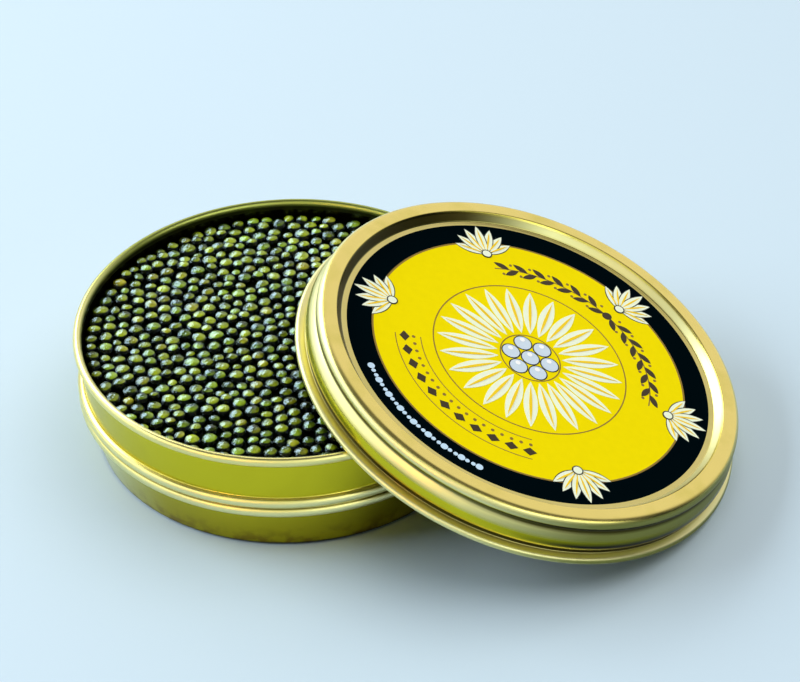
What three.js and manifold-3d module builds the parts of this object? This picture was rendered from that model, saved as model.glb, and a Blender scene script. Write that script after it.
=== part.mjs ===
// An open round tin of osetra caviar, with its lid leaning on the tin's rim.
// Millimetres, +Z up. The origin is the centre of the tin's flat bottom, on the surface that it
// stands on, and +X points from the tin towards the low edge of the lid.

import * as THREE from 'three';
import { mergeVertices } from 'three/addons/utils/BufferGeometryUtils.js';
import Module from 'manifold-3d';

// Driving dimensions of the tin
const TIN_HEIGHT = 23.1;
const SHEET = 0.5;
const FOOT_RADIUS = 37.3;
const FOOT_FILLET = 0.8;
const WALL_RADIUS = 39.3;
const WALL_TOP = 8.4;
const NECK_RADIUS = 39.95;
const RIM_RADIUS = 40.3;
const RIM_HALF_WIDTH = 0.8;
const RIM_HALF_HEIGHT = 0.95;
const LOWER_BEAD = { radius: 39.95, height: 10.1, tube: 1.1 };
const UPPER_BEAD = { radius: 39.95, height: 12.2, tube: 1.1 };
const NECK_FOOT = 13.35;

// Driving dimensions of the lid, with depths measured down from its flat top ring
const LID_DEPTH = 8.46;
const RING_OUTER = 40.7;
const SHOULDER = 1.5;
const RING_INNER = 38.7;
const PANEL_DEPTH = 1.66;
const PANEL_RADIUS = 37.3;
const SKIRT_RADIUS = 42.2;
const NECKING = { radius: 41.9, depth: 2.15 };
const SKIRT_BEAD = { crest: 43.0, depth: 5.66, aboveCrest: 4.9, belowCrest: 1.6 };
const CREVICE = { radius: 42.4, depth: 7.66 };
const CURL_RADIUS = 43.52;
const CURL_TUBE = 0.72;

// How the lid leans: its low edge is on the surface, and its skirt crosses the tin's rim
const LID_REACH = 44.91;
const LID_TILT = THREE.MathUtils.degToRad(19.6);
const TABLE_GAP = 0.03;

// Driving dimensions of the caviar
const FIT_GAP = 0.3;
const EGG_PITCH = 3.1;
const EGG_TOP_RADIUS = 0.65;
const EGG_SCATTER = 0.42;
const EGG_LIFT = 0.35;
const CAVIAR_LEVEL = 21.2;
const VALLEY_DEPTH = 1.15;
const CAVIAR_SEED = 7;
const HASH_TURNS = [127.1, 311.7, 74.7];
const HASH_SCALE = 43758.5453;

// How fine the round shapes are, as steps in a whole turn or in one arc of an outline
const TURN_SEGMENTS = 56;
const BEAD_STEPS = 4;
const RIM_STEPS = 5;
const CURL_STEPS = 8;
const FILLET_STEPS = 3;

const GOLD = { color: 0xd9c877, metalness: 0.9, roughness: 0.3 };
const EGG_OLIVE = { color: 0x4c5628, metalness: 0.0, roughness: 0.25 };

// Points on an ellipse's arc, as radius and height, from one angle in degrees to another
function arc(centreRadius, centreHeight, halfWidth, halfHeight, fromDeg, toDeg, steps) {
  const points = [];
  for (let step = 0; step <= steps; step += 1) {
    const angle = THREE.MathUtils.degToRad(fromDeg + ((toDeg - fromDeg) * step) / steps);
    points.push([
      centreRadius + halfWidth * Math.cos(angle),
      centreHeight + halfHeight * Math.sin(angle),
    ]);
  }
  return points;
}

// Turns an outline of radius and height points round the Z axis
function turned(outline) {
  const profile = outline.map(([radius, height]) => new THREE.Vector2(radius, height));
  const geometry = new THREE.LatheGeometry(profile, TURN_SEGMENTS);
  geometry.rotateX(Math.PI / 2);
  return geometry;
}

function tinOutline() {
  const rimHeight = TIN_HEIGHT - RIM_HALF_HEIGHT;
  const innerRadius = NECK_RADIUS - SHEET;
  const foot = arc(FOOT_RADIUS, FOOT_FILLET, FOOT_FILLET, FOOT_FILLET, -90, 0, FILLET_STEPS);
  const lower = LOWER_BEAD;
  const upper = UPPER_BEAD;
  return [
    [0, 0],
    ...foot,
    [WALL_RADIUS, WALL_TOP],
    ...arc(lower.radius, lower.height, lower.tube, lower.tube, -80, 68, BEAD_STEPS),
    ...arc(upper.radius, upper.height, upper.tube, upper.tube, -68, 80, BEAD_STEPS),
    [NECK_RADIUS, NECK_FOOT],
    [NECK_RADIUS, rimHeight - RIM_HALF_HEIGHT],
    ...arc(RIM_RADIUS, rimHeight, RIM_HALF_WIDTH, RIM_HALF_HEIGHT, -45, 180, RIM_STEPS),
    [innerRadius, rimHeight - RIM_HALF_HEIGHT],
    [innerRadius, lower.height - lower.tube],
    [WALL_RADIUS - SHEET, WALL_TOP],
    [FOOT_RADIUS, SHEET + FOOT_FILLET],
    [FOOT_RADIUS - FOOT_FILLET, SHEET],
    [0, SHEET],
  ];
}

// The lid's outline stands on the plane of its curl, so heights are LID_DEPTH less the depth
function lidOutline() {
  const height = (depth) => LID_DEPTH - depth;
  const { crest, depth, aboveCrest, belowCrest } = SKIRT_BEAD;
  const innerRadius = SKIRT_RADIUS - SHEET;
  const fold = (RING_INNER - PANEL_RADIUS) / 3;
  return [
    [0, height(PANEL_DEPTH + SHEET)],
    [PANEL_RADIUS, height(PANEL_DEPTH + SHEET)],
    [RING_INNER, height(SHEET)],
    [RING_OUTER, height(SHEET)],
    [innerRadius, height(SHOULDER)],
    [innerRadius, 1.5 * CURL_TUBE],
    ...arc(CURL_RADIUS, 0, CURL_TUBE, CURL_TUBE, -180, 130, CURL_STEPS),
    [CREVICE.radius, height(CREVICE.depth)],
    ...arc(crest - belowCrest, height(depth), belowCrest, belowCrest, -60, -20, 2),
    ...arc(crest - aboveCrest, height(depth), aboveCrest, aboveCrest, 0, 39, BEAD_STEPS - 1),
    [NECKING.radius, height(NECKING.depth)],
    ...arc(RING_OUTER, height(SHOULDER), SHOULDER, SHOULDER, 0, 90, FILLET_STEPS),
    [RING_INNER, height(0)],
    [RING_INNER - fold, height(PANEL_DEPTH / 4)],
    [PANEL_RADIUS + fold, height(PANEL_DEPTH)],
    [0, height(PANEL_DEPTH)],
  ];
}

// The space that the caviar fills, a little clear of the tin
function fillOutline() {
  const top = TIN_HEIGHT;
  return [
    [0, SHEET + FIT_GAP],
    [FOOT_RADIUS - FOOT_FILLET - FIT_GAP, SHEET + FIT_GAP],
    [FOOT_RADIUS - FIT_GAP, SHEET + FOOT_FILLET + FIT_GAP],
    [WALL_RADIUS - SHEET - FIT_GAP, WALL_TOP],
    [NECK_RADIUS - SHEET - FIT_GAP, LOWER_BEAD.height],
    [NECK_RADIUS - SHEET - FIT_GAP, top],
    [0, top],
  ];
}

// A repeatable random number from 0 to 1 for one egg of the lattice
function noise(column, row, kind) {
  const [perColumn, perRow, perKind] = HASH_TURNS;
  const angle = column * perColumn + row * perRow + kind * perKind + CAVIAR_SEED;
  const turn = Math.sin(angle) * HASH_SCALE;
  return turn - Math.floor(turn);
}

// The middle of one egg of the uneven lattice
function eggMiddle(column, row) {
  const shift = (kind, most) => (2 * noise(column, row, kind) - 1) * most;
  const x = (column + row / 2) * EGG_PITCH + shift(1, EGG_SCATTER);
  const y = (row * EGG_PITCH * Math.sqrt(3)) / 2 + shift(2, EGG_SCATTER);
  const z = CAVIAR_LEVEL + shift(3, EGG_LIFT);
  return new THREE.Vector3(x, y, z);
}

// The low point between three neighbouring eggs
function valley(eggs) {
  const middles = eggs.map(([column, row]) => eggMiddle(column, row));
  const point = middles[0].clone().add(middles[1]).add(middles[2]).divideScalar(3);
  point.z -= VALLEY_DEPTH;
  return point;
}

// The triangles of one egg's bump: a small flat top and sides down to the six valleys round it
function eggBump(column, row) {
  const steps = [[1, 0], [0, 1], [-1, 1], [-1, 0], [0, -1], [1, -1]];
  const neighbours = steps.map(([right, up]) => [column + right, row + up]);
  const valleys = neighbours.map((next, index) => {
    const after = neighbours[(index + 1) % neighbours.length];
    const eggs = [[column, row], next, after];
    eggs.sort((a, b) => a[0] - b[0] || a[1] - b[1]);
    return valley(eggs);
  });
  const middle = eggMiddle(column, row);
  const tops = [0, 2, 4].map((index) => {
    const outward = valleys[index].clone().sub(middle).setZ(0).setLength(EGG_TOP_RADIUS);
    return middle.clone().add(outward);
  });
  const triangles = [[tops[0], tops[1], tops[2]]];
  for (let side = 0; side < 3; side += 1) {
    const low = valleys[2 * side];
    const between = valleys[2 * side + 1];
    const lowAfter = valleys[(2 * side + 2) % valleys.length];
    const top = tops[side];
    const topAfter = tops[(side + 1) % tops.length];
    triangles.push([top, low, between], [top, between, topAfter], [topAfter, between, lowAfter]);
  }
  return triangles;
}

// A closed slab with the eggs' bumps on top, wider than the tin
function eggSlab() {
  const reach = NECK_RADIUS + 2 * EGG_PITCH;
  const rows = Math.ceil((2 * reach) / EGG_PITCH);
  const surface = [];
  for (let row = -rows; row <= rows; row += 1) {
    for (let column = -rows; column <= rows; column += 1) {
      const middle = eggMiddle(column, row);
      if (Math.hypot(middle.x, middle.y) < reach) {
        surface.push(...eggBump(column, row));
      }
    }
  }
  const dropped = (point) => point.clone().setZ(0);
  const key = (point) => `${point.x},${point.y}`;
  const edges = new Map();
  for (const triangle of surface) {
    for (let corner = 0; corner < 3; corner += 1) {
      const start = triangle[corner];
      const end = triangle[(corner + 1) % 3];
      const back = `${key(end)};${key(start)}`;
      if (!edges.delete(back)) {
        edges.set(`${key(start)};${key(end)}`, [start, end]);
      }
    }
  }
  const closed = [...surface];
  for (const [first, second, third] of surface) {
    closed.push([dropped(third), dropped(second), dropped(first)]);
  }
  for (const [start, end] of edges.values()) {
    closed.push([start, dropped(start), end], [end, dropped(start), dropped(end)]);
  }
  const geometry = new THREE.BufferGeometry();
  const positions = closed.flat().flatMap((point) => [point.x, point.y, point.z]);
  geometry.setAttribute('position', new THREE.Float32BufferAttribute(positions, 3));
  return geometry;
}

// A closed mesh as a manifold-3d solid
function toSolid(wasm, geometry) {
  const bare = geometry.clone();
  bare.deleteAttribute('normal');
  bare.deleteAttribute('uv');
  const merged = mergeVertices(bare);
  const corners = merged.index.array;
  const triVerts = [];
  for (let face = 0; face < corners.length; face += 3) {
    const [first, second, third] = corners.slice(face, face + 3);
    if (first !== second && second !== third && third !== first) {
      triVerts.push(first, second, third);
    }
  }
  const mesh = new wasm.Mesh({
    numProp: 3,
    vertProperties: new Float32Array(merged.attributes.position.array),
    triVerts: new Uint32Array(triVerts),
  });
  return new wasm.Manifold(mesh);
}

function fromSolid(solid) {
  const { vertProperties, triVerts } = solid.getMesh();
  const geometry = new THREE.BufferGeometry();
  geometry.setAttribute('position', new THREE.BufferAttribute(vertProperties, 3));
  geometry.setIndex(new THREE.BufferAttribute(triVerts, 1));
  return geometry;
}

async function caviarGeometry() {
  const wasm = await Module();
  wasm.setup();
  const slab = toSolid(wasm, eggSlab());
  const fill = toSolid(wasm, turned(fillOutline()));
  return fromSolid(slab.intersect(fill));
}

function namedMesh(name, geometry, finish) {
  const mesh = new THREE.Mesh(geometry, new THREE.MeshStandardMaterial(finish));
  mesh.name = name;
  return mesh;
}

const part = new THREE.Group();

part.add(namedMesh('tin', turned(tinOutline()), GOLD));
part.add(namedMesh('caviar', await caviarGeometry(), EGG_OLIVE));

const leaningLid = new THREE.Group();
const curlHeight = CURL_RADIUS * Math.sin(LID_TILT) + CURL_TUBE + TABLE_GAP;
leaningLid.position.set(LID_REACH, 0, curlHeight);
leaningLid.rotation.y = LID_TILT;
leaningLid.add(namedMesh('lid', turned(lidOutline()), GOLD));
part.add(leaningLid);

export default part;
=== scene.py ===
"""An open tin of osetra caviar, with its printed lid leaning on the rim.

Lengths are in millimetres unless a name or comment says otherwise, and meshes are scaled to
metres as they are made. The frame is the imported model's: the tin stands at the origin, +Z is up
and the lid's low edge lies along +X.
"""

import math

import bmesh
import bpy
import numpy as np
from mathutils import Matrix, Vector


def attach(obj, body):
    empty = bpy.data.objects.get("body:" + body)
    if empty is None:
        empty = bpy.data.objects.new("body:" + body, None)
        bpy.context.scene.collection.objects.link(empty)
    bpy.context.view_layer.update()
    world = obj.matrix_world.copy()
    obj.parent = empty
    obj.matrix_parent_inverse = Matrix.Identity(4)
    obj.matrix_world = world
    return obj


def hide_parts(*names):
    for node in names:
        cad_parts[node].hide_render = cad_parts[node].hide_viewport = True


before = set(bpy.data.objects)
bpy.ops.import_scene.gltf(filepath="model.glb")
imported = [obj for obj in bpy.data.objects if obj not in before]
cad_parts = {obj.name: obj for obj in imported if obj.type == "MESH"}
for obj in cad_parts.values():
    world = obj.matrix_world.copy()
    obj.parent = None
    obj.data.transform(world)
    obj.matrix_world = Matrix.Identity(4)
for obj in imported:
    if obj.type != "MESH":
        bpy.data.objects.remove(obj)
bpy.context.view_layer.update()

MM = 0.001
BODY = "root"

# Camera, from the ellipses that the rim, the print and the lid's edges make in the photograph
CAMERA_PLACE = (104.94, -349.61, 305.20)
CAMERA_AZIMUTH = math.radians(13.345)
CAMERA_ELEVATION = math.radians(38.28)
CAMERA_ROLL = math.radians(-0.764)
CAMERA_LENS = 108.32
SENSOR_WIDTH = 36
CLIP_START_METRES = 0.01


def add_camera():
    data = bpy.data.cameras.new("camera")
    data.lens = CAMERA_LENS
    data.sensor_width = SENSOR_WIDTH
    data.clip_start = CLIP_START_METRES
    camera = bpy.data.objects.new("camera", data)
    heading = Matrix.Rotation(CAMERA_AZIMUTH, 4, "Z")
    pitch = Matrix.Rotation(math.pi / 2 - CAMERA_ELEVATION, 4, "X")
    roll = Matrix.Rotation(CAMERA_ROLL, 4, "Z")
    camera.matrix_world = Matrix.Translation(Vector(CAMERA_PLACE) * MM) @ heading @ pitch @ roll
    bpy.context.scene.collection.objects.link(camera)
    bpy.context.scene.camera = camera


add_camera()

# The tin, the same as the solid's. A bead is its radius from the axis, its height and its tube.
TIN_HEIGHT = 23.1
SHEET = 0.5
FOOT_RADIUS = 37.3
FOOT_FILLET = 0.8
WALL_RADIUS = 39.3
WALL_TOP = 8.4
NECK_RADIUS = 39.95
NECK_FOOT = 13.35
RIM_RADIUS = 40.3
RIM_HALF_WIDTH = 0.8
RIM_HALF_HEIGHT = 0.95
LOWER_BEAD = (39.95, 10.1, 1.1)
UPPER_BEAD = (39.95, 12.2, 1.1)

# The lid, the same as the solid's but for a curl that is 0.03 thinner and turns less far round,
# and a middle that is 0.025 less far along +X. Its pairs are a radius and a depth under the top
# of its ring.
LID_DEPTH = 8.46
RING_OUTER = 40.7
SHOULDER = 1.5
RING_INNER = 38.7
PANEL_DEPTH = 1.66
PANEL_RADIUS = 37.3
SKIRT_RADIUS = 42.2
NECKING = (41.9, 2.15)
BEAD_CREST = (43.0, 5.66)
BEAD_ABOVE = 4.9
BEAD_BELOW = 1.6
CREVICE = (42.4, 7.66)
CURL_RADIUS = 43.52
CURL_TUBE = 0.69
LID_REACH = 44.885
LID_TILT = math.radians(19.6)
TABLE_GAP = 0.03
PANEL_HEIGHT = LID_DEPTH - PANEL_DEPTH

# How finely the tin and the lid are turned: steps and strides along the outline, the width of
# the bell that rounds its corners, and how much a millimetre of it bends before it counts as bent
TURN_SEGMENTS = 240
ARC_STEPS = 24
FINE_STEP = 0.02
SOFTNESS = 0.1
BELL_REACH = 4
BENT = math.radians(4)
LEAST_STRIDE = 0.12
MOST_STRIDE = 3.0

# The gold's colours, and the painted highlights, painted reflections and painted shade mixed into them
GOLD_SIDE = (0.60, 0.53, 0.015)
TIN_TOP_GOLD = (0.80, 0.66, 0.18)
LID_TOP_GOLD = (0.83, 0.65, 0.19)
PAINTED_HIGHLIGHT_GOLD = (0.80, 0.80, 0.46)
RIM_PAINTED_HIGHLIGHT = (0.86, 0.80, 0.34)
GROOVE_SHADE = (0.03, 0.022, 0.0)
FOOT_SHADE = (0.38, 0.31, 0.0)
FOOT_PAINTED_REFLECTION = (0.16, 0.07, 0.0)
FOOT_CONTACT_SHADOW = (0.0, 0.0, 0.0)
FAR_RIM_SHADE = (0.30, 0.36, 0.06)
BRINE_SHADE = (0.012, 0.014, 0.002)
LID_SHADE = (0.12, 0.13, 0.0)
UNDER_SHADE = (0.004, 0.004, 0.0)
WALL_SHADE = (0.03, 0.018, 0.0)

# The gold's finish, with the span that most of a noise's values lie in
NOISE_MIDDLE = (0.3, 0.7)
GOLD_ROUGHNESS = 0.24
PALE_ROUGHNESS = 0.42
TOP_GOLD_SPAN = (0.2, 0.95)
CLOUD_SIZE = 7
CLOUD_FADE = (0.5, 0.8, 0.35)
CLOUD_SHADE = 0.8
DRIFT_SIZE = 5
DRIFT = 0.03
BAND_CORE = 0.4
MATTE_CORE = 0.6

# Its bands of painted highlight and its grooves of painted shade: height up the axis, half width,
# strength
TIN_PAINTED_HIGHLIGHTS = ((22.1, 1.2, 0.6), (10.1, 1.1, 0.8), (12.2, 1.1, 0.8))
LID_PAINTED_HIGHLIGHTS = ((7.5, 0.8, 0.8), (5.2, 1.4, 0.75), (0.1, 1.1, 0.75))
TIN_GROOVES = ((21.0, 0.5, 0.35), (11.15, 0.3, 0.75), (8.75, 0.5, 0.9))
LID_GROOVES = ((6.3, 0.6, 0.8),)

# The tin's parts with painted shade, painted highlights and painted reflections. A fade is where
# it starts, where it is full and how strong it is then, over a height or radius, over how far the
# surface faces a way, or over a place in metres.
RIM_FADE = (TIN_HEIGHT - 2.1, TIN_HEIGHT - 1.7)
RIM_HIGHLIGHT_SHARE = 0.6
FAR_WAY = (-0.3, 0.95, 0.0)
FAR_FADE = (0.002, 0.028, 0.85)
LOW_WALL_TOP = WALL_TOP + 0.6
LEFT_WAY = (-0.91, -0.42, 0.0)
LEFT_FADE = (0.72, 0.95, 0.75)
FRONT_WAY = (0.2, -0.98, 0.0)
FRONT_FADE = (0.5, 0.85)
FOOT_SHARES = (0.5, 0.75)
PAINTED_REFLECTION_SIZE = 2.5
PAINTED_REFLECTION_FADE = (0.45, 0.62)
PAINTED_REFLECTION_HEIGHT_FADE = (5.0, 0.5, 0.7)
FOOT_CONTACT_SHADOW_FADE = (0.9, 0.3)
WITHIN_FADE = (NECK_RADIUS - 0.2, NECK_RADIUS - 0.4)
BRINE_FADE = (TIN_HEIGHT - 0.6, TIN_HEIGHT - 1.2, 0.92)

# The lid's shaded parts. The fold between shoulder and bead is a level and two half widths.
AWAY_WAY = (0.82, -0.57, 0.0)
AWAY_FADE = (0.55, 0.9, 0.85)
FOLD = (6.2, 0.9, 0.4)
FOLD_FADE = (0.45, 0.75, 0.9)
CURL_FADE = (0.75, 0.9)
UNDER_FADE = (0.68, 0.85)
UNDER_HEIGHT_FADE = (3.9, 3.0)
CREVICE_FADE = (1.9, 1.4, 0.97)
WALL_OUTER_FADE = (38.9, 38.5)
WALL_INNER_FADE = (37.3, 37.5)
WALL_WAY = (0.97, -0.25, 0.0)
WALL_FADE = (0.45, 0.75, 0.92)

# The print on the lid's panel, on an upright turned this far from the lid's low edge
PRINT_TURN = math.radians(-26)
INK = 0.02
DISC_RADIUS = 31.07
BLACK_INNER = 31.4
BLACK_OUTER = 36.26
RING_SEGMENTS = 160

# Its inks: colour, roughness, specular level
INKS = {
    "ink_black": ((0.0003, 0.003, 0.0045), 0.3, 0.0),
    "ink_yellow": ((0.88, 0.71, 0.0), 0.35, 0.01),
    "ink_edges": ((0.006, 0.006, 0.006), 0.35, 0.2),
    "ink_cream": ((0.84, 0.90, 0.70), 0.35, 0.1),
    "ink_stripe": ((0.88, 0.60, 0.01), 0.35, 0.12),
    "ink_bronze": ((0.26, 0.16, 0.02), 0.35, 0.15),
    "ink_brown": ((0.04, 0.024, 0.005), 0.35, 0.2),
    "ink_outline": ((0.006, 0.006, 0.008), 0.35, 0.2),
    "ink_pearl": ((0.60, 0.70, 0.80), 0.35, 0.15),
    "ink_spark": ((0.95, 0.95, 0.95), 0.35, 0.2),
    "ink_white": ((0.55, 0.74, 0.92), 0.35, 0.2),
}

# The flower: a leaf is half its length and half its width, and the thin rings are their edges
RAYS = 24
RAY_MIDDLE = 12.6
RAY_LEAF = (6.0, 1.42)
RAY_STRIPE = (5.0, 0.30)
FLOWER_INNER_RING = (5.9, 6.15)
FLOWER_OUTER_RING = (19.2, 19.45)
PEARL_RADIUS = 1.7
PEARL_PLACES = 6
PEARL_RING = 3.9
PEARL_EDGE = 0.24
SPARK_RADIUS = 0.3 * PEARL_RADIUS
SPARK_SHIFT = 0.6

# The palmettes, each a fan of blades laid from the sides to the middle
ROWS_TURN = math.radians(-94)
PALMETTE_TURNS = [ROWS_TURN + math.radians(60) * k for k in range(1, 6)]
PALMETTE_FOOT = 28.2
PALMETTE_REACH = 7.8
BLADES = (-3, 3, -2, 2, -1, 1, 0)
BLADE_TURN = math.radians(22)
BLADE_SHORTENING = 0.055
BLADE_HALF_WIDTH = 0.92
BLADE_EDGED_HALF_WIDTH = 1.12
BLADE_EDGE = 0.16
BLADE_STRIPE_INSET = 0.9
BLADE_STRIPE_HALF_WIDTH = 0.2
KNOB_RADIUS = 0.88
KNOB_EDGED_RADIUS = 1.12

# The rows opposite the laurel, and the beads on the black ring
BRONZE_LAP = 0.02
HAIRLINES = (21.9, 26.9)
HAIRLINE_HALF_WIDTH = 0.09
HAIRLINE_SWEEP = math.radians(84)
DOT_RADIUS = 0.36
DOT_ROW = 23.3
DOT_TURN = math.radians(4.6)
LOZENGE_ROW = 25.1
LOZENGE_TURN = math.radians(8.2)
LOZENGE = (1.35, 1.0)
BEAD_ROW = 33.8
BEAD_TURN = math.radians(2.05)
LARGE_BEAD = 0.72
SMALL_BEAD = 0.44

# The laurel
LAUREL_TURN = math.radians(86)
LAUREL_RADIUS = 24.2
STEM_HALF_WIDTH = 0.12
STEM_SWEEP = math.radians(118)
LAUREL_LEAVES = 12
LEAF_TURNS_DEG = (5.5, 4.5)
LEAF_OUT = 0.85
LEAF_SLANT = math.radians(30)
LAUREL_LEAF = (1.7, 0.62)
BERRY_OUT = 1.35
BERRY_RADIUS = 0.34
LAUREL_KNOT = 1.0

# The caviar, with the core's gap to the tin at its foot and at the top of the lower wall
CAVIAR_TOP = 21.45
CORE_TOP = 19.0
FILL_RADIUS = 39.15
FILL_FOOT = 0.8
CORE_FOOT_GAP = 0.4
CORE_WALL_GAP = 0.5
CORE_EDGE_DROP = 0.3

# The eggs' sizes
EGG_COUNT = 640
EGG_RADIUS = 1.41
EGG_SPREAD = 0.15
LEAST_EGG = 1.1
MOST_EGG = 1.75
EGG_FLATNESS = 0.84
EGG_OVALNESS = 0.045
EGG_LUMPS = ((2.4, 0.045), (4.2, 0.028), (6.5, 0.012))
EGG_SEED = 11

# How they settle: each step sinks them, pushes them apart and smooths them level under waves
SETTLE_STEPS = 320
EGG_ROOM = 1.05
DROP_HEIGHT = 5
SINK = 0.02
PUSH_SHARE = 0.4
NEIGHBOUR_REACH = 2.9 * EGG_RADIUS
STEPS_PER_SEARCH = 16
LEAST_DISTANCE = 0.01
WAVES = 4
WAVE_LENGTH = 7
WAVE_DEPTH = 0.09
WAVE_REST = 2
CORE_CLEARANCE = 0.3

# Their looks: colours from the painted shade of the belly to the painted glow, the share of each
# kind but the yellow one, and where the few yellow eggs lie
PAINTED_BELLY_SHADE = (0.0, 0.001, 0.0)
EGG_COLORS = {
    "eggs_olive": (PAINTED_BELLY_SHADE, (0.030, 0.052, 0.005), (0.38, 0.48, 0.012)),
    "eggs_green": (PAINTED_BELLY_SHADE, (0.022, 0.050, 0.007), (0.30, 0.46, 0.014)),
    "eggs_bronze": (PAINTED_BELLY_SHADE, (0.038, 0.050, 0.006), (0.42, 0.44, 0.016)),
    "eggs_yellow": ((0.004, 0.004, 0.0), (0.20, 0.20, 0.008), (0.50, 0.47, 0.012)),
}
EGG_SHARES = {"eggs_olive": 0.60, "eggs_green": 0.28, "eggs_bronze": 0.12}
YELLOW_EGGS = ((-36.3, 7.2), (-24.0, -27.0), (-3.5, 22.0))
BODY_STOP = 0.38
GLOW_WAY = (0.72, -0.62, 0.1)
GLOW_SPREAD = 0.24
GLOW_SPAN = (-0.5, 0.75, 0.25, 1.0)
MOTTLE_SIZE = 0.9
MOTTLE = 0.18
UP_WAY = (0, 0.12, 0.993)
UP_FADE = (0.56, 0.76)
TONE_SPAN = (0, 1, 0.78, 1.18)

# The floor, and the light round the object
FLOOR_HALF = 3000
FLOOR_COLOR = (0.535, 0.655, 0.745)
FRONT_GLOW = (0.03, 0.034, 0.03)
BACK_GLOW = (0.95, 0.97, 0.98)
TOP_GLOW = (0.14, 0.15, 0.14)
BACK_SPAN = (0.25, 0.65)
TOP_SPAN = (0.4, 0.7)
LIGHTS_AIM = (0.02, 0, 0.01)


def new_object(name, vertices, faces, smooth=True, place=Matrix()):
    mesh = bpy.data.meshes.new(name)
    mesh.from_pydata([tuple(v) for v in np.asarray(vertices) * MM], [], faces)
    mesh.transform(place)
    mesh.polygons.foreach_set("use_smooth", [smooth] * len(mesh.polygons))
    mesh.update()
    piece = bpy.data.objects.new(name, mesh)
    bpy.context.scene.collection.objects.link(piece)
    return piece


def arc(centre_radius, centre_height, half_width, half_height, from_deg, to_deg):
    angles = np.radians(np.linspace(from_deg, to_deg, ARC_STEPS + 1))
    return [
        (centre_radius + half_width * math.cos(a), centre_height + half_height * math.sin(a))
        for a in angles
    ]


def softened(outline):
    """The outline with its corners rounded, and points close together only where it bends."""
    corners = np.array(outline)
    lengths = np.hypot(*np.diff(corners, axis=0).T)
    reach = np.concatenate([[0], np.cumsum(lengths)])
    fine = np.linspace(0, reach[-1], int(reach[-1] / FINE_STEP))
    line = np.stack([np.interp(fine, reach, corners[:, k]) for k in (0, 1)], axis=1)
    half = int(BELL_REACH * SOFTNESS / FINE_STEP)
    weights = np.exp(-0.5 * (np.arange(-half, half + 1) * FINE_STEP / SOFTNESS) ** 2)
    weights /= weights.sum()
    for k in (0, 1):
        padded = np.pad(line[:, k], half, mode="edge")
        line[:, k] = np.convolve(padded, weights, mode="valid")
    line[0], line[-1] = corners[0], corners[-1]
    heading = np.unwrap(np.arctan2(*np.diff(line, axis=0).T[::-1]))
    bend = np.abs(np.diff(heading, append=heading[-1])) / FINE_STEP
    bent = np.where(bend > BENT)[0]
    kept = [0]
    while kept[-1] < len(line) - 1:
        here = kept[-1]
        clear = np.abs(bent - here).min() * FINE_STEP
        stride = min(max(LEAST_STRIDE, 0.5 * clear), MOST_STRIDE)
        kept.append(min(here + int(stride / FINE_STEP), len(line) - 1))
    return line[kept]


def turned(name, outline, place=Matrix()):
    """A solid turned round its axis from an outline that starts and ends on the axis.

    Its mesh keeps the outline's height and radius at each vertex, in millimetres.
    """
    angles = np.linspace(0, 2 * math.pi, TURN_SEGMENTS, endpoint=False)
    circle = np.stack([np.cos(angles), np.sin(angles)], axis=1)
    vertices = [(r * x, r * y, z) for r, z in outline[1:-1] for x, y in circle]
    first = len(vertices)
    vertices += [(0, 0, outline[0][1]), (0, 0, outline[-1][1])]
    rows = len(outline) - 2
    last = (rows - 1) * TURN_SEGMENTS
    faces = []
    for low in range(0, last, TURN_SEGMENTS):
        high = low + TURN_SEGMENTS
        for k in range(TURN_SEGMENTS):
            after = (k + 1) % TURN_SEGMENTS
            faces.append((low + k, low + after, high + after, high + k))
    for k in range(TURN_SEGMENTS):
        after = (k + 1) % TURN_SEGMENTS
        faces.append((first, after, k))
        faces.append((first + 1, last + k, last + after))
    piece = new_object(name, vertices, faces, place=place)
    for attribute, k in (("outline_radius", 0), ("outline_height", 1)):
        values = np.repeat([point[k] for point in outline[1:-1]], TURN_SEGMENTS)
        values = np.append(values, (outline[0][k], outline[-1][k]))
        layer = piece.data.attributes.new(attribute, "FLOAT", "POINT")
        layer.data.foreach_set("value", values.astype(np.float32))
    return piece


def tin_outline():
    rim_height = TIN_HEIGHT - RIM_HALF_HEIGHT
    inner = NECK_RADIUS - SHEET
    lower_radius, lower_height, lower_tube = LOWER_BEAD
    upper_radius, upper_height, upper_tube = UPPER_BEAD
    return [
        (0, 0),
        *arc(FOOT_RADIUS, FOOT_FILLET, FOOT_FILLET, FOOT_FILLET, -90, 0),
        (WALL_RADIUS, WALL_TOP),
        *arc(lower_radius, lower_height, lower_tube, lower_tube, -80, 68),
        *arc(upper_radius, upper_height, upper_tube, upper_tube, -68, 80),
        (NECK_RADIUS, NECK_FOOT),
        (NECK_RADIUS, rim_height - RIM_HALF_HEIGHT),
        *arc(RIM_RADIUS, rim_height, RIM_HALF_WIDTH, RIM_HALF_HEIGHT, -45, 180),
        (inner, rim_height - RIM_HALF_HEIGHT),
        (inner, lower_height - lower_tube),
        (WALL_RADIUS - SHEET, WALL_TOP),
        (FOOT_RADIUS, SHEET + FOOT_FILLET),
        (FOOT_RADIUS - FOOT_FILLET, SHEET),
        (0, SHEET),
    ]


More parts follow.
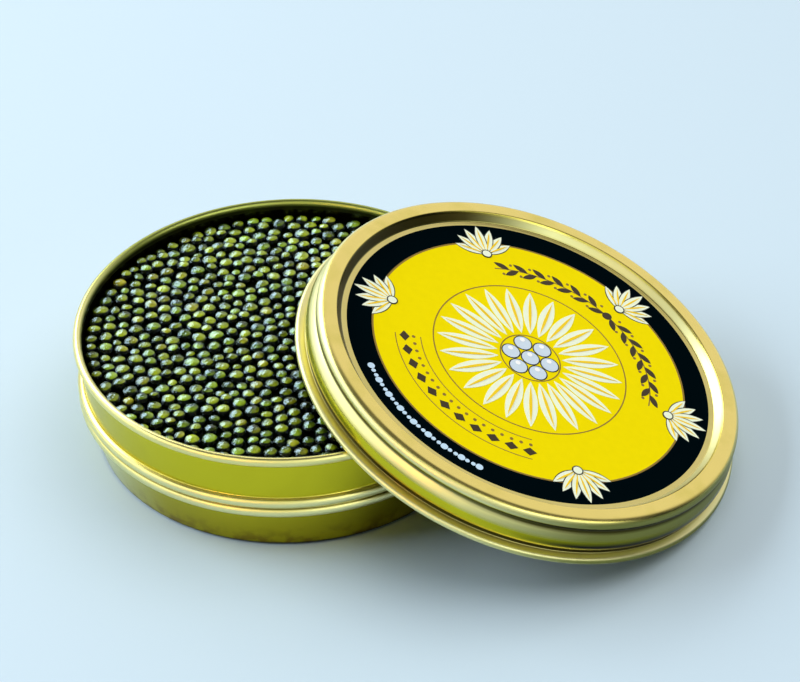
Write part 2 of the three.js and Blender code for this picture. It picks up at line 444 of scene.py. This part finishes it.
def lid_outline():
    """The lid stands on the plane through the middle of its curl."""
    inner = SKIRT_RADIUS - SHEET
    crest, crest_height = BEAD_CREST[0], LID_DEPTH - BEAD_CREST[1]
    return [
        (0, PANEL_HEIGHT - SHEET),
        (PANEL_RADIUS, PANEL_HEIGHT - SHEET),
        (RING_INNER, LID_DEPTH - SHEET),
        (RING_OUTER, LID_DEPTH - SHEET),
        (inner, LID_DEPTH - SHOULDER),
        (inner, 1.5 * CURL_TUBE),
        *arc(CURL_RADIUS, 0, CURL_TUBE, CURL_TUBE, -180, 96),
        (CREVICE[0], LID_DEPTH - CREVICE[1]),
        *arc(crest - BEAD_BELOW, crest_height, BEAD_BELOW, BEAD_BELOW, -60, 0),
        *arc(crest - BEAD_ABOVE, crest_height, BEAD_ABOVE, BEAD_ABOVE, 2, 39),
        (NECKING[0], LID_DEPTH - NECKING[1]),
        *arc(RING_OUTER, LID_DEPTH - SHOULDER, SHOULDER, SHOULDER, 0, 90),
        (RING_INNER, LID_DEPTH),
        (PANEL_RADIUS, PANEL_HEIGHT),
        (0, PANEL_HEIGHT),
    ]


def lid_place():
    height = CURL_RADIUS * math.sin(LID_TILT) + CURL_TUBE + TABLE_GAP
    return Matrix.Translation(Vector((LID_REACH, 0, height)) * MM) @ Matrix.Rotation(LID_TILT, 4, "Y")


class Nodes:
    """A node tree, with short calls for the nodes that the looks and the world are made of."""

    def __init__(self, tree):
        self.tree = tree

    def new(self, kind):
        return self.tree.nodes.new("ShaderNode" + kind)

    def put(self, node, socket, value):
        target = node.inputs[socket]
        if isinstance(value, bpy.types.NodeSocket):
            self.tree.links.new(value, target)
        elif target.type == "RGBA":
            target.default_value = (*value, 1)
        else:
            target.default_value = value

    def coordinate(self, kind):
        return self.new("TexCoord").outputs[kind]

    def math(self, operation, *values):
        node = self.new("Math")
        node.operation = operation
        for k, value in enumerate(values):
            self.put(node, k, value)
        return node.outputs[0]

    def times(self, first, *others):
        for other in others:
            first = self.math("MULTIPLY", first, other)
        return first

    def span(self, value, low, high, to_low=0.0, to_high=1.0, smooth=False):
        """The value carried over from one span of numbers to another."""
        node = self.new("MapRange")
        if smooth:
            node.interpolation_type = "SMOOTHSTEP"
        sockets = ("Value", "From Min", "From Max", "To Min", "To Max")
        for socket, number in zip(sockets, (value, low, high, to_low, to_high)):
            self.put(node, socket, number)
        return node.outputs[0]

    def fade(self, value, start, full, strength=1.0):
        """Nothing where the value starts, and this strength where it is full."""
        return self.span(value, start, full, 0.0, strength)

    def mix(self, factor, first, second):
        node = self.new("Mix")
        node.data_type = "RGBA"
        self.put(node, 0, factor)
        self.put(node, 6, first)
        self.put(node, 7, second)
        return node.outputs[2]


class Look(Nodes):
    """A material, by its node tree."""

    def __init__(self, name):
        self.material = bpy.data.materials.new(name)
        self.material.use_nodes = True
        super().__init__(self.material.node_tree)
        self.shader = self.tree.nodes["Principled BSDF"]

    def set(self, **sockets):
        for socket, value in sockets.items():
            self.put(self.shader, socket.replace("_", " "), value)
        return self

    def attribute(self, name):
        node = self.new("Attribute")
        node.attribute_name = name
        return node.outputs["Fac"]

    def along(self, way, coordinate="Normal"):
        """How far the surface faces this way, from -1 to 1, or how far its place lies this way."""
        node = self.new("VectorMath")
        node.operation = "DOT_PRODUCT"
        self.put(node, 0, self.coordinate(coordinate))
        self.put(node, 1, way)
        return node.outputs["Value"]

    def noise(self, size, detail):
        """Noise with features of about this many millimetres."""
        node = self.new("TexNoise")
        self.put(node, "Vector", self.coordinate("Object"))
        self.put(node, "Scale", 1 / (size * MM))
        self.put(node, "Detail", detail)
        return node.outputs["Fac"]

    def drift(self, value, noise, down, up):
        """A number that the noise carries this far down and up."""
        return self.span(noise, *NOISE_MIDDLE, value - down, value + up)

    def band(self, height, level, half_width, core, strength=1.0):
        """This strength within the core of a band about a level, and nothing past its half width."""
        away = self.math("ABSOLUTE", self.math("SUBTRACT", height, level))
        return self.fade(away, half_width, core, strength)

    def ramp(self, value, *stops):
        node = self.new("ValToRGB")
        self.put(node, 0, value)
        elements = node.color_ramp.elements
        while len(elements) < len(stops):
            elements.new(1.0)
        for element, (position, color) in zip(elements, stops):
            element.position = position
            element.color = (*color, 1)
        return node.outputs[0]

    def bump(self, height, depth, strength):
        """Relief this many millimetres deep."""
        node = self.new("Bump")
        self.put(node, "Height", height)
        self.put(node, "Distance", depth * MM)
        self.put(node, "Strength", strength)
        self.put(self.shader, "Normal", node.outputs[0])
        self.put(self.shader, "Coat Normal", node.outputs[0])
        return self

    def on(self, piece):
        piece.data.materials.append(self.material)


def gold_look(name, top, axis, painted_highlights, grooves):
    """Satin gold lacquer on tinplate, for a piece turned round this axis.

    It is paler where it faces up the axis and greener down the walls, with bands of painted
    highlight and grooves of painted shade mixed into its colour.
    """
    look = Look(name)
    height = look.attribute("outline_height")
    color = look.mix(look.fade(look.along(axis), *TOP_GOLD_SPAN), GOLD_SIDE, top)
    cloud = look.fade(look.noise(CLOUD_SIZE, 4), *CLOUD_FADE)
    color = look.mix(cloud, color, tuple(c * CLOUD_SHADE for c in GOLD_SIDE))
    roughness = look.drift(GOLD_ROUGHNESS, look.noise(DRIFT_SIZE, 2), DRIFT, DRIFT)
    # Bands of painted highlight, rougher where they are
    for level, half_width, strength in painted_highlights:
        band = look.band(height, level, half_width, BAND_CORE * half_width, strength)
        color = look.mix(band, color, PAINTED_HIGHLIGHT_GOLD)
        matte = look.band(height, level, half_width, MATTE_CORE * half_width, PALE_ROUGHNESS)
        roughness = look.math("MAXIMUM", roughness, matte)
    for level, half_width, strength in grooves:
        band = look.band(height, level, half_width, BAND_CORE * half_width, strength)
        color = look.mix(band, color, GROOVE_SHADE)
    look.set(Metallic=1.0, Roughness=roughness, Coat_Weight=0.1, Coat_Roughness=0.3)
    return look, color


def add_tin():
    tin = turned("tin_shell", softened(tin_outline()))
    look, color = gold_look("gold_tin", TIN_TOP_GOLD, (0, 0, 1), TIN_PAINTED_HIGHLIGHTS, TIN_GROOVES)
    radius, height = look.attribute("outline_radius"), look.attribute("outline_height")
    # Painted highlight over the rim, and painted shade on its far part
    rim = look.fade(height, *RIM_FADE)
    color = look.mix(look.times(rim, RIM_HIGHLIGHT_SHARE), color, RIM_PAINTED_HIGHLIGHT)
    far = look.fade(look.along(FAR_WAY, "Object"), *FAR_FADE)
    color = look.mix(look.times(rim, far), color, FAR_RIM_SHADE)
    low = look.math("LESS_THAN", height, LOW_WALL_TOP)
    # Painted reflection of a bright floor, paler on the left of the lower wall
    left = look.fade(look.along(LEFT_WAY), *LEFT_FADE)
    color = look.mix(look.times(low, left), color, PAINTED_HIGHLIGHT_GOLD)
    front = look.times(low, look.fade(look.along(FRONT_WAY), *FRONT_FADE))
    foot = look.span(height, WALL_TOP, 0, *FOOT_SHARES)
    color = look.mix(look.times(front, foot), color, FOOT_SHADE)
    # Brown mottles near the foot, on its front: a painted reflection of a dark floor
    painted_reflection = look.fade(look.noise(PAINTED_REFLECTION_SIZE, 4), *PAINTED_REFLECTION_FADE)
    painted_reflection = look.times(painted_reflection, look.fade(height, *PAINTED_REFLECTION_HEIGHT_FADE), front)
    color = look.mix(painted_reflection, color, FOOT_PAINTED_REFLECTION)
    # Painted contact shadow, black at the very foot of the tin
    color = look.mix(look.fade(height, *FOOT_CONTACT_SHADOW_FADE), color, FOOT_CONTACT_SHADOW)
    within = look.fade(radius, *WITHIN_FADE)
    below = look.fade(height, *BRINE_FADE)
    above = look.math("GREATER_THAN", height, NECK_FOOT)
    look.set(Base_Color=look.mix(look.times(within, below, above), color, BRINE_SHADE))
    look.on(tin)
    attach(tin, BODY)
    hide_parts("tin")


def add_lid():
    lid = turned("lid_shell", softened(lid_outline()), lid_place())
    axis = lid_place().to_3x3() @ Vector((0, 0, 1))
    look, color = gold_look("gold_lid", LID_TOP_GOLD, axis, LID_PAINTED_HIGHLIGHTS, LID_GROOVES)
    radius, height = look.attribute("outline_radius"), look.attribute("outline_height")
    away = look.along(AWAY_WAY)
    color = look.mix(look.fade(away, *AWAY_FADE), color, LID_SHADE)
    fold = look.times(look.band(height, *FOLD), look.fade(away, *FOLD_FADE))
    color = look.mix(fold, color, GROOVE_SHADE)
    above_curl = look.fade(height, *CURL_FADE)
    under = look.times(look.fade(away, *UNDER_FADE), look.fade(height, *UNDER_HEIGHT_FADE))
    color = look.mix(look.times(under, above_curl), color, UNDER_SHADE)
    crevice = look.times(above_curl, look.fade(height, *CREVICE_FADE))
    color = look.mix(crevice, color, GROOVE_SHADE)
    wall = look.times(look.fade(radius, *WALL_OUTER_FADE), look.fade(radius, *WALL_INNER_FADE))
    wall = look.times(wall, look.fade(look.along(WALL_WAY), *WALL_FADE))
    look.set(Base_Color=look.mix(wall, color, WALL_SHADE))
    look.on(lid)
    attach(lid, BODY)
    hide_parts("lid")


def polar(radius, angle):
    return (radius * math.cos(angle), radius * math.sin(angle))


def unit_ways(turn):
    """Unit vectors along this turn and across it."""
    along = np.array(polar(1, turn))
    return along, np.array([-along[1], along[0]])


def ink_look(name):
    color, roughness, specular = INKS[name]
    look = Look(name)
    lighter = tuple(min(1.0, c * 1.08) for c in color)
    look.set(Base_Color=look.mix(look.noise(1.5, 4), color, lighter))
    look.set(Roughness=look.drift(roughness, look.noise(0.6, 3), 0.03, 0.05))
    look.set(Specular_IOR_Level=specular)
    return look.bump(look.noise(0.25, 2), 0.003, 0.3)


class Print:
    """Flat closed shapes of one ink, each a thin prism on the lid's panel."""

    def __init__(self, level):
        self.low = PANEL_HEIGHT - INK
        self.vertices = []
        self.faces = []
        self.at(level)

    def at(self, level):
        """From here on, shapes that end this many layers of ink above the panel."""
        self.high = PANEL_HEIGHT + level * INK
        return self

    def shape(self, outline):
        """A shape whose outline can be seen whole from its middle."""
        outline = np.asarray(outline)
        count = len(outline)
        start = len(self.vertices)
        middle = outline.mean(axis=0)
        for height in (self.low, self.high):
            self.vertices += [(x, y, height) for x, y in outline]
        self.vertices += [(*middle, self.low), (*middle, self.high)]
        under, over = start + 2 * count, start + 2 * count + 1
        for k in range(count):
            after = (k + 1) % count
            low, low_after = start + k, start + after
            high, high_after = low + count, low_after + count
            self.faces.append((low, low_after, high_after, high))
            self.faces.append((over, high, high_after))
            self.faces.append((under, low_after, low))

    def band(self, inner, outer, middle=0.0, sweep=2 * math.pi, segments=RING_SEGMENTS):
        """A ring between two circles, or a part of it that sweeps this far, half on each side."""
        start = len(self.vertices)
        whole = sweep >= 2 * math.pi
        count = segments if whole else segments + 1
        corners = ((inner, self.low), (outer, self.low), (outer, self.high), (inner, self.high))
        for k in range(count):
            angle = middle - sweep / 2 + sweep * k / segments
            for radius, height in corners:
                self.vertices.append((*polar(radius, angle), height))
        for k in range(segments):
            here, after = start + 4 * k, start + 4 * ((k + 1) % count)
            for corner in range(4):
                following = (corner + 1) % 4
                self.faces.append((here + corner, after + corner, after + following, here + following))
        if not whole:
            last = start + 4 * segments
            self.faces.append((start, start + 1, start + 2, start + 3))
            self.faces.append((last + 3, last + 2, last + 1, last))

    def disc(self, radius, centre=(0, 0), segments=24):
        angles = np.linspace(0, 2 * math.pi, segments, endpoint=False)
        self.shape([np.add(centre, polar(radius, a)) for a in angles])

    def lozenge(self, centre, turn, half_length, half_width):
        along, across = unit_ways(turn)
        corners = (along * half_length, across * half_width, -along * half_length, -across * half_width)
        self.shape([np.add(centre, corner) for corner in corners])

    def leaf(self, centre, turn, half_length, half_width, steps=10):
        """A pointed oval."""
        along, across = unit_ways(turn)
        outline = []
        for side in (-1, 1):
            for k in range(steps):
                t = -1 + 2 * k / steps
                point = np.array(centre) + side * t * half_length * along
                outline.append(point + side * half_width * (1 - t * t) * across)
        self.shape(outline)

    def piece(self, name, ink):
        place = lid_place() @ Matrix.Rotation(PRINT_TURN, 4, "Z")
        piece = new_object(name, self.vertices, self.faces, smooth=False, place=place)
        ink_look(ink).on(piece)
        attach(piece, BODY)


def row(middle, step, each_way):
    """Angles this far apart, so many on each side of the middle one."""
    return [middle + step * k for k in range(-each_way, each_way + 1)]


def ring(count):
    """Angles all round, with the gap between the last and the first astride zero."""
    return [2 * math.pi * (k + 0.5) / count for k in range(count)]


def print_fields():
    black = Print(1)
    black.band(BLACK_INNER, BLACK_OUTER)
    black.piece("print_black_ring", "ink_black")

    yellow = Print(1)
    yellow.disc(DISC_RADIUS, segments=RING_SEGMENTS)
    yellow.piece("print_yellow_disc", "ink_yellow")


def print_rays_and_palmettes():
    """Each blade of a palmette lies a little over the one before, so that no two share a plane."""
    edges = Print(2)
    cream = Print(3)
    stripe = Print(6)
    for angle in ring(RAYS):
        cream.leaf(polar(RAY_MIDDLE, angle), angle, *RAY_LEAF)
        stripe.leaf(polar(RAY_MIDDLE, angle), angle, *RAY_STRIPE)
    for turn in PALMETTE_TURNS:
        foot = np.array(polar(PALMETTE_FOOT, turn))
        for k, blade in enumerate(BLADES):
            way = turn + BLADE_TURN * blade
            half = PALMETTE_REACH * (1 - BLADE_SHORTENING * abs(blade)) / 2
            middle = foot + np.array(polar(half, way))
            edges.at(2 + 0.5 * k).leaf(middle, way, half + BLADE_EDGE, BLADE_EDGED_HALF_WIDTH)
            cream.at(2.25 + 0.5 * k).leaf(middle, way, half, BLADE_HALF_WIDTH)
            stripe.leaf(middle, way, half - BLADE_STRIPE_INSET, BLADE_STRIPE_HALF_WIDTH)
        edges.at(6.5).disc(KNOB_EDGED_RADIUS, foot, 20)
        cream.at(6.75).disc(KNOB_RADIUS, foot, 20)
    edges.piece("print_edges", "ink_edges")
    cream.piece("print_cream", "ink_cream")
    stripe.piece("print_cream_lines", "ink_stripe")


def print_rows_and_laurel():
    bronze = Print(2)
    bronze.band(DISC_RADIUS - BRONZE_LAP, BLACK_INNER + BRONZE_LAP)
    bronze.band(*FLOWER_INNER_RING, segments=96)
    bronze.band(*FLOWER_OUTER_RING)
    for radius in HAIRLINES:
        edges = (radius - HAIRLINE_HALF_WIDTH, radius + HAIRLINE_HALF_WIDTH)
        bronze.band(*edges, ROWS_TURN, HAIRLINE_SWEEP, 60)
    for angle in row(ROWS_TURN, DOT_TURN, 9):
        bronze.disc(DOT_RADIUS, polar(DOT_ROW, angle), 12)
    stem = (LAUREL_RADIUS - STEM_HALF_WIDTH, LAUREL_RADIUS + STEM_HALF_WIDTH)
    bronze.band(*stem, LAUREL_TURN, STEM_SWEEP, 80)

    brown = Print(3)
    for angle in row(ROWS_TURN, LOZENGE_TURN, 5):
        brown.lozenge(polar(LOZENGE_ROW, angle), angle + math.pi / 2, *LOZENGE)
    first_leaf, next_leaf = LEAF_TURNS_DEG
    for side in (-1, 1):
        for k in range(LAUREL_LEAVES):
            angle = LAUREL_TURN - side * math.radians(first_leaf + next_leaf * k)
            out = 1 if k % 2 else -1
            slant = angle - side * math.pi / 2 + out * side * LEAF_SLANT
            brown.leaf(polar(LAUREL_RADIUS + LEAF_OUT * out, angle), slant, *LAUREL_LEAF)
            bronze.disc(BERRY_RADIUS, polar(LAUREL_RADIUS - BERRY_OUT * out, angle), 12)
    brown.disc(LAUREL_KNOT, polar(LAUREL_RADIUS, LAUREL_TURN))
    bronze.piece("print_bronze", "ink_bronze")
    brown.piece("print_brown", "ink_brown")


def print_pearls():
    outline = Print(2)
    pearl = Print(3)
    spark = Print(4)
    for centre in [(0, 0)] + [polar(PEARL_RING, angle) for angle in ring(PEARL_PLACES)]:
        outline.disc(PEARL_RADIUS + PEARL_EDGE, centre, 36)
        pearl.disc(PEARL_RADIUS, centre, 36)
        spark.disc(SPARK_RADIUS, (centre[0] - SPARK_SHIFT, centre[1] + SPARK_SHIFT), 16)
    outline.piece("print_pearl_outlines", "ink_outline")
    pearl.piece("print_pearls", "ink_pearl")
    spark.piece("print_pearl_sparks", "ink_spark")


def print_beads():
    white = Print(2)
    for k, angle in enumerate(row(ROWS_TURN, BEAD_TURN, 12)):
        white.disc(SMALL_BEAD if k % 3 else LARGE_BEAD, polar(BEAD_ROW, angle), 16)
    white.piece("print_white_dots", "ink_white")


def add_print():
    """A traditional border: palmettes, a laurel, rows of lozenges and a flower of pearls."""
    print_fields()
    print_rays_and_palmettes()
    print_rows_and_laurel()
    print_pearls()
    print_beads()


def settled_eggs(random):
    """Centres and radii of eggs that sank on each other in the tin and were smoothed level."""
    radii = np.clip(random.normal(EGG_RADIUS, EGG_SPREAD, EGG_COUNT), LEAST_EGG, MOST_EGG)
    reach = np.sqrt(random.random(EGG_COUNT)) * (FILL_RADIUS - EGG_RADIUS)
    around = random.random(EGG_COUNT) * 2 * math.pi
    height = CORE_TOP + EGG_RADIUS + random.random(EGG_COUNT) * DROP_HEIGHT
    place = np.stack([reach * np.cos(around), reach * np.sin(around), height], axis=1)
    # Of each wave's three draws the heading and the phase are used
    waves = (random.random((WAVES, 3)) * 2 * math.pi)[:, :2]
    for step in range(SETTLE_STEPS):
        if step % STEPS_PER_SEARCH == 0:
            gap = np.linalg.norm(place[:, None] - place[None], axis=2)
            one, other = np.where(np.triu(gap < NEIGHBOUR_REACH, 1))
        place[:, 2] -= SINK
        apart = place[other] - place[one]
        distance = np.linalg.norm(apart, axis=1)
        overlap = np.maximum(EGG_ROOM * (radii[one] + radii[other]) - distance, 0)
        push = apart * (PUSH_SHARE * overlap / np.maximum(distance, LEAST_DISTANCE))[:, None]
        for axis in range(3):
            place[:, axis] -= np.bincount(one, push[:, axis], EGG_COUNT)
            place[:, axis] += np.bincount(other, push[:, axis], EGG_COUNT)
        x, y = place[:, 0], place[:, 1]
        inside = np.minimum(1, (FILL_RADIUS - radii) / np.maximum(np.hypot(x, y), LEAST_DISTANCE))
        place[:, :2] *= inside[:, None]
        uneven = sum(
            np.sin(x / WAVE_LENGTH * math.cos(heading) + y / WAVE_LENGTH * math.sin(heading) + phase)
            for heading, phase in waves
        )
        ceiling = CAVIAR_TOP - WAVE_DEPTH * (uneven + WAVE_REST) - radii
        place[:, 2] = np.clip(place[:, 2], CORE_TOP + CORE_CLEARANCE * radii, ceiling)
    return place, radii


def egg_meshes(random, place, radii):
    """Vertices of every egg, lumpy and a little oval, with how much painted glow each vertex has."""
    ball = bmesh.new()
    bmesh.ops.create_icosphere(ball, subdivisions=3, radius=1)
    sphere = np.array([v.co for v in ball.verts])
    triangles = np.array([[v.index for v in f.verts] for f in ball.faces])
    ball.free()
    count = len(place)
    turns = np.linalg.qr(random.normal(size=(count, 3, 3)))[0]
    stretch = random.normal(1, EGG_OVALNESS, (count, 1, 3))
    ways = random.normal(size=(count, 3, 3))
    ways /= np.linalg.norm(ways, axis=2, keepdims=True)
    shifts = random.random((count, 3)) * 2 * math.pi
    lumps = np.ones((count, len(sphere)))
    for k, (waves, size) in enumerate(EGG_LUMPS):
        lumps += size * np.sin(waves * (ways[:, k] @ sphere.T) + shifts[:, k, None])
    local = sphere[None] * lumps[..., None] * stretch
    local = np.einsum("nvi,nij->nvj", local, turns)
    facing = local / np.linalg.norm(local, axis=2, keepdims=True)
    local[..., 2] *= EGG_FLATNESS
    glow_way = np.array(GLOW_WAY) + random.normal(0, GLOW_SPREAD, (count, 3))
    glow_way /= np.linalg.norm(glow_way, axis=1, keepdims=True)
    glow = np.einsum("nvi,ni->nv", facing, glow_way)
    return place[:, None] + local * radii[:, None, None], triangles, glow


def joined_eggs(name, vertices, triangles, glow, tone):
    """One piece of many eggs, from arrays."""
    count, per_egg = vertices.shape[:2]
    corners = (triangles[None] + (np.arange(count) * per_egg)[:, None, None]).reshape(-1)
    mesh = bpy.data.meshes.new(name)
    mesh.vertices.add(count * per_egg)
    mesh.vertices.foreach_set("co", (vertices * MM).ravel())
    mesh.loops.add(len(corners))
    mesh.loops.foreach_set("vertex_index", corners)
    mesh.polygons.add(len(corners) // 3)
    mesh.polygons.foreach_set("loop_start", np.arange(0, len(corners), 3))
    mesh.polygons.foreach_set("use_smooth", [True] * (len(corners) // 3))
    for attribute, values in (("glow", glow), ("tone", np.repeat(tone[:, None], per_egg, axis=1))):
        layer = mesh.attributes.new(attribute, "FLOAT", "POINT")
        layer.data.foreach_set("value", values.ravel().astype(np.float32))
    mesh.update(calc_edges=True)
    mesh.validate()
    piece = bpy.data.objects.new(name, mesh)
    bpy.context.scene.collection.objects.link(piece)
    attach(piece, BODY)
    return piece


def egg_look(name):
    """A translucent egg, with painted shade where it faces down and a painted glow on its far side."""
    belly, body, glow = EGG_COLORS[name]
    look = Look(name)
    mottle = look.drift(0.0, look.noise(MOTTLE_SIZE, 3), MOTTLE, MOTTLE)
    # Painted light: a glow on the side of each egg away from the window, and painted shade where it
    # faces down
    light = look.span(look.math("ADD", look.attribute("glow"), mottle), *GLOW_SPAN)
    up = look.fade(look.along(UP_WAY), *UP_FADE)
    shown = look.times(up, light, look.span(look.attribute("tone"), *TONE_SPAN))
    color = look.ramp(shown, (0.0, belly), (BODY_STOP, body), (1.0, glow))
    look.set(Base_Color=color, Roughness=0.5, Specular_IOR_Level=0.0)
    look.set(Coat_Weight=1.0, Coat_Roughness=0.13, Coat_IOR=1.6)
    return look.bump(look.noise(0.8, 2), 0.3, 1.0)


def add_core():
    """A fill that shows between the eggs: brine and lower eggs, painted near black as their shade."""
    core = turned("caviar_core", softened([
        (0, FILL_FOOT),
        (FOOT_RADIUS - FOOT_FILLET - CORE_FOOT_GAP, FILL_FOOT),
        (WALL_RADIUS - SHEET - CORE_WALL_GAP, WALL_TOP),
        (FILL_RADIUS, LOWER_BEAD[1]),
        (FILL_RADIUS, CORE_TOP - CORE_EDGE_DROP),
        (0, CORE_TOP),
    ]))
    # Near black: painted shade of the brine and the eggs deeper down
    look = Look("core_brine_and_shade")
    look.set(Base_Color=look.mix(look.noise(2, 3), (0.0, 0.001, 0.0), (0.003, 0.006, 0.001)))
    look.set(Roughness=0.55, Specular_IOR_Level=0.1).bump(look.noise(2.2, 3), 0.5, 0.8).on(core)
    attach(core, BODY)
    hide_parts("caviar")


def add_eggs():
    random = np.random.default_rng(EGG_SEED)
    place, radii = settled_eggs(random)
    vertices, triangles, glow = egg_meshes(random, place, radii)
    tone = random.random(EGG_COUNT)
    draw = random.random(EGG_COUNT)
    yellow = np.zeros(EGG_COUNT, bool)
    for x, y in YELLOW_EGGS:
        near = np.hypot(place[:, 0] - x, place[:, 1] - y) - 2 * (place[:, 2] - CORE_TOP)
        yellow[near.argmin()] = True
    kinds = {"eggs_yellow": yellow}
    passed = 0.0
    for name, share in EGG_SHARES.items():
        kinds[name] = (draw >= passed) & (draw < passed + share) & ~yellow
        passed += share
    for name in EGG_COLORS:
        chosen = kinds[name]
        piece = joined_eggs(name, vertices[chosen], triangles, glow[chosen], tone[chosen])
        egg_look(name).on(piece)
        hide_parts("caviar")


def add_floor():
    half = FLOOR_HALF
    corners = [(-half, -half, 0), (half, -half, 0), (half, half, 0), (-half, half, 0)]
    floor = new_object("floor", corners, [(0, 1, 2, 3)])
    Look("floor_paint").set(Base_Color=FLOOR_COLOR, Roughness=0.7).on(floor)


def add_softbox(name, place, size, radiance, color, only=()):
    """A rectangular light at a place in metres, of this brightness whatever its size.

    It lights everything and is mirrored nowhere, or else it is only mirrored, in a few pieces.
    """
    data = bpy.data.lights.new(name, "AREA")
    data.shape = "RECTANGLE"
    data.size, data.size_y = size
    data.energy = radiance * math.pi * size[0] * size[1]
    data.color = color
    light = bpy.data.objects.new(name, data)
    light.location = place
    light.rotation_euler = (Vector(LIGHTS_AIM) - Vector(place)).to_track_quat("-Z", "Y").to_euler()
    light.visible_camera = False
    light.visible_glossy = bool(only)
    light.visible_diffuse = not only
    if only:
        mirrors = bpy.data.collections.new(name + "_lit")
        for piece in only:
            mirrors.objects.link(bpy.data.objects[piece])
        light.light_linking.receiver_collection = mirrors
    bpy.context.scene.collection.objects.link(light)


def studio_world():
    """A pale studio, bright behind the object and dim on the camera's side."""
    world = bpy.data.worlds.new("studio")
    world.use_nodes = True
    nodes = Nodes(world.node_tree)
    direction = nodes.new("SeparateXYZ")
    nodes.put(direction, 0, nodes.coordinate("Generated"))
    depth = nodes.span(direction.outputs["Y"], *BACK_SPAN, smooth=True)
    rise = nodes.span(direction.outputs["Z"], *TOP_SPAN, smooth=True)
    shade = nodes.mix(depth, nodes.mix(rise, FRONT_GLOW, TOP_GLOW), BACK_GLOW)
    nodes.put(world.node_tree.nodes["Background"], "Color", shade)
    return world


def add_lights():
    gold = ("tin_shell", "lid_shell")
    eggs = tuple(EGG_COLORS)
    add_softbox("window", (-0.98, -0.06, 0.52), (1.05, 0.72), 7.6, (0.90, 0.96, 1.0))
    add_softbox("overhead", (0.35, 0.15, 1.0), (1.2, 1.2), 1.75, (1.0, 0.98, 0.95))
    add_softbox("egg_window", (-0.62, 0.28, 0.66), (1.3, 0.8), 10.5, (0.56, 0.82, 1.0), eggs)
    add_softbox("gold_front", (0.10, -0.90, 0.62), (1.7, 1.35), 0.8, (0.93, 1.0, 0.80), gold)
    add_softbox("gold_window", (-0.80, -0.16, 0.44), (1.3, 0.7), 1.8, (0.95, 1.0, 0.95), gold)
    add_softbox("back_window", (-0.64, 0.45, 0.62), (0.7, 0.5), 5.0, (0.92, 1.0, 1.0), gold)
    add_softbox("far_window", (0.73, -0.45, 0.52), (0.85, 0.42), 3.0, (0.95, 1.0, 0.98), gold)
    add_softbox("lamp", (-0.25, -0.68, 0.42), (0.2, 0.18), 9.0, (1.0, 0.45, 0.08), gold)
    bpy.context.scene.world = studio_world()


add_tin()
add_lid()
add_print()
add_core()
add_eggs()
add_floor()
add_lights()
bpy.context.scene.view_settings.view_transform = "Standard"
